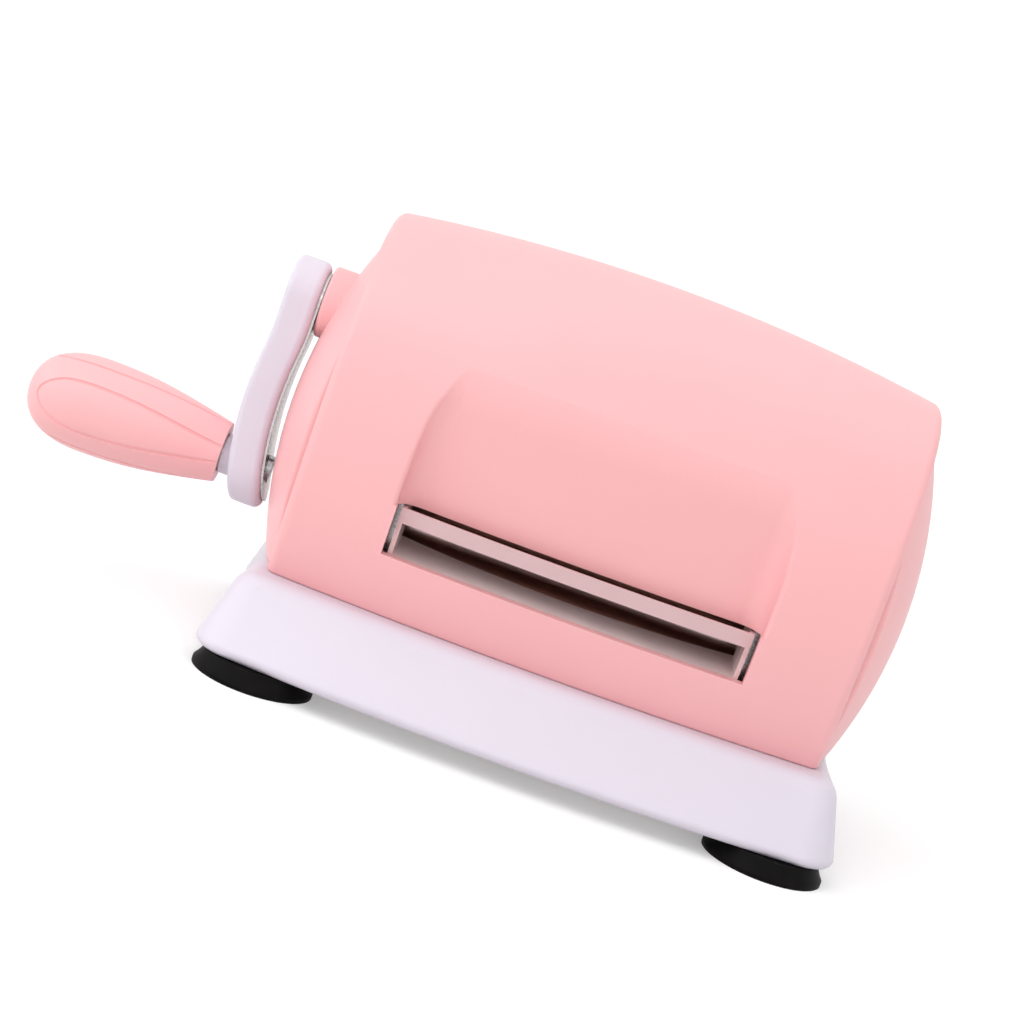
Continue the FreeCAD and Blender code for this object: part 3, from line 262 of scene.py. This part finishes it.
def blasted_sheet_painted_light(name):
    """Blasted and lacquered sheet, painted pale low down as painted light on the tray floor
    that lies in shade, with paler worn edges.
    """
    shader = Shader(name)
    streak = shader.noise(ROLLED_GRAIN, 3.0, ALONG_Y)
    stain = shader.noise(STAIN_PATCH, 3.0)
    split = shader.add("ShaderNodeSeparateXYZ")
    shader.link(shader.place(), split.inputs["Vector"])
    # Painted light: full below the lower height, fading out by the upper one
    painted_light = shader.ramp(split.outputs["Z"], SHEET_PAINTED_LIGHT_HEIGHT, SHEET_PAINTED_LIGHT_END, 1.0, 0.0)
    base = shader.blend(painted_light, SHEET, SHEET_PAINTED_LIGHT_AND_WEAR)
    dull = shader.blend(painted_light, tuple(c * 0.9 for c in SHEET), SHEET)
    base = shader.blend(shader.ramp(stain, 0.35, 0.7, 0.0, 0.25), base, dull)
    share = shader.math("MULTIPLY", shader.edges(METAL_WEAR), 0.15)
    base = shader.blend(share, base, SHEET_PAINTED_LIGHT_AND_WEAR)
    rough = shader.ramp(streak, 0.3, 0.7, 0.45, 0.6)
    normal = shader.bump(streak, 0.06, METAL_DEPTH)
    return shader.principled(base, rough, normal, Metallic=0.1)


MATERIALS = {
    "pink_plastic": moulded_plastic("pink_plastic", PINK, PINK_PALE, 0.40),
    "white_plastic": moulded_plastic("white_plastic", WHITE, WHITE_SHADED, 0.38),
    "black_rubber": rubber("black_rubber"),
    "zinc_steel": metal("zinc_steel", ZINC, 0.26, ZINC_GRAIN, EVEN, 0.2),
    # The rollers' finish is painted shade and painted reflection: darker, browner steel
    "roller_steel_painted_shade": metal("roller_steel_painted_shade", ROLLER_PAINTED_SHADE, 0.34, ROLLED_GRAIN, ALONG_X, 0.06),
    "tray_sheet_painted_light": blasted_sheet_painted_light("tray_sheet_painted_light"),
    "turned_steel": metal("turned_steel", TURNED, 0.28, TURNED_GRAIN, ROUND_X, 0.35),
    "bronze": metal("bronze", BRONZE, 0.30, TURNED_GRAIN, ROUND_X, 0.3),
}

# Nodes whose finish differs from the rest of their material slot: painted light on the low
# part of the feed trays, painted shade on the rollers
OWN_FINISH = {
    "front_feed_tray": "tray_sheet_painted_light",
    "rear_feed_tray": "tray_sheet_painted_light",
    "upper_roller": "roller_steel_painted_shade",
    "lower_roller": "roller_steel_painted_shade",
}


def finish_nodes():
    for row in frame["record"]["subparts"]:
        finish = OWN_FINISH.get(row["node"], row["material_slot"])
        piece = frame["nodes"][row["node"]]
        piece.data.materials.clear()
        piece.data.materials.append(MATERIALS[finish])


# Floor and backdrop

def mesh_object(name, vertices, faces):
    mesh = bpy.data.meshes.new(name)
    mesh.from_pydata(vertices, [], faces)
    piece = bpy.data.objects.new(name, mesh)
    bpy.context.scene.collection.objects.link(piece)
    return piece


def sweep():
    """White floor that curves up into a backdrop on every side."""
    radii = [0.0, FLOOR_RADIUS]
    heights = [0.0, 0.0]
    for degrees in range(10, 100, 10):
        radii.append(FLOOR_RADIUS + BEND_RADIUS * math.sin(math.radians(degrees)))
        heights.append(BEND_RADIUS - BEND_RADIUS * math.cos(math.radians(degrees)))
    radii.append(FLOOR_RADIUS + BEND_RADIUS)
    heights.append(BACKDROP_TOP)
    count = SWEEP_SIDES
    vertices = [(0.0, 0.0, 0.0)]
    for radius, height in zip(radii[1:], heights[1:]):
        for k in range(count):
            angle = 2 * math.pi * k / count
            vertices.append((radius * math.cos(angle), radius * math.sin(angle), height))
    faces = [(0, 1 + k, 1 + (k + 1) % count) for k in range(count)]
    for ring in range(len(radii) - 2):
        low = 1 + ring * count
        high = low + count
        for k in range(count):
            after = (k + 1) % count
            faces.append((low + k, high + k, high + after, low + after))
    floor = mesh_object("studio_sweep", vertices, faces)
    floor.data.shade_smooth()
    return floor


def sweep_material():
    """Pale matt paper; the camera and mirrors see it lifted to white but for shadows."""
    shader = Shader("studio_paper")
    fibre = shader.noise(PAPER_FIBRE, 3.0)
    colour = shader.blend(shader.ramp(fibre, 0.3, 0.7, 0.0, 1.0), PAPER, PAPER_PALE)
    paper = shader.add("ShaderNodeBsdfDiffuse")
    shader.link(colour, paper.inputs["Color"])
    glow = shader.add("ShaderNodeEmission")
    path = shader.add("ShaderNodeLightPath")
    seen = shader.math("MAXIMUM", path.outputs["Is Camera Ray"], path.outputs["Is Glossy Ray"])
    seen = shader.math("MAXIMUM", seen, path.outputs["Is Transmission Ray"])
    shader.link(shader.math("MULTIPLY", seen, FLOOR_GLOW), glow.inputs["Strength"])
    both = shader.add("ShaderNodeAddShader")
    shader.link(paper.outputs["BSDF"], both.inputs[0])
    shader.link(glow.outputs["Emission"], both.inputs[1])
    shader.link(both.outputs["Shader"], shader.output.inputs["Surface"])
    return shader.material


def build_stage():
    floor = sweep()
    floor.data.materials.append(sweep_material())


# Light

def area_lamp(name, place, size, power):
    """Rectangular lamp that points at the machine."""
    data = bpy.data.lights.new(name, "AREA")
    data.shape = "RECTANGLE"
    data.size, data.size_y = size
    data.energy = power
    lamp = bpy.data.objects.new(name, data)
    bpy.context.scene.collection.objects.link(lamp)
    lamp.location = place
    direction = Vector(LAMP_TARGET) - Vector(place)
    lamp.rotation_euler = direction.to_track_quat("-Z", "Y").to_euler()


def light_scene():
    world = bpy.data.worlds.new("studio")
    world.use_nodes = True
    background = world.node_tree.nodes["Background"]
    background.inputs["Color"].default_value = (1.0, 1.0, 1.0, 1.0)
    background.inputs["Strength"].default_value = WORLD_LEVEL
    bpy.context.scene.world = world
    for name, place, size, power in LAMPS:
        area_lamp(name, place, size, power)


build_stage()
light_scene()
finish_nodes()
place_camera()
bpy.context.scene.view_settings.view_transform = "Standard"
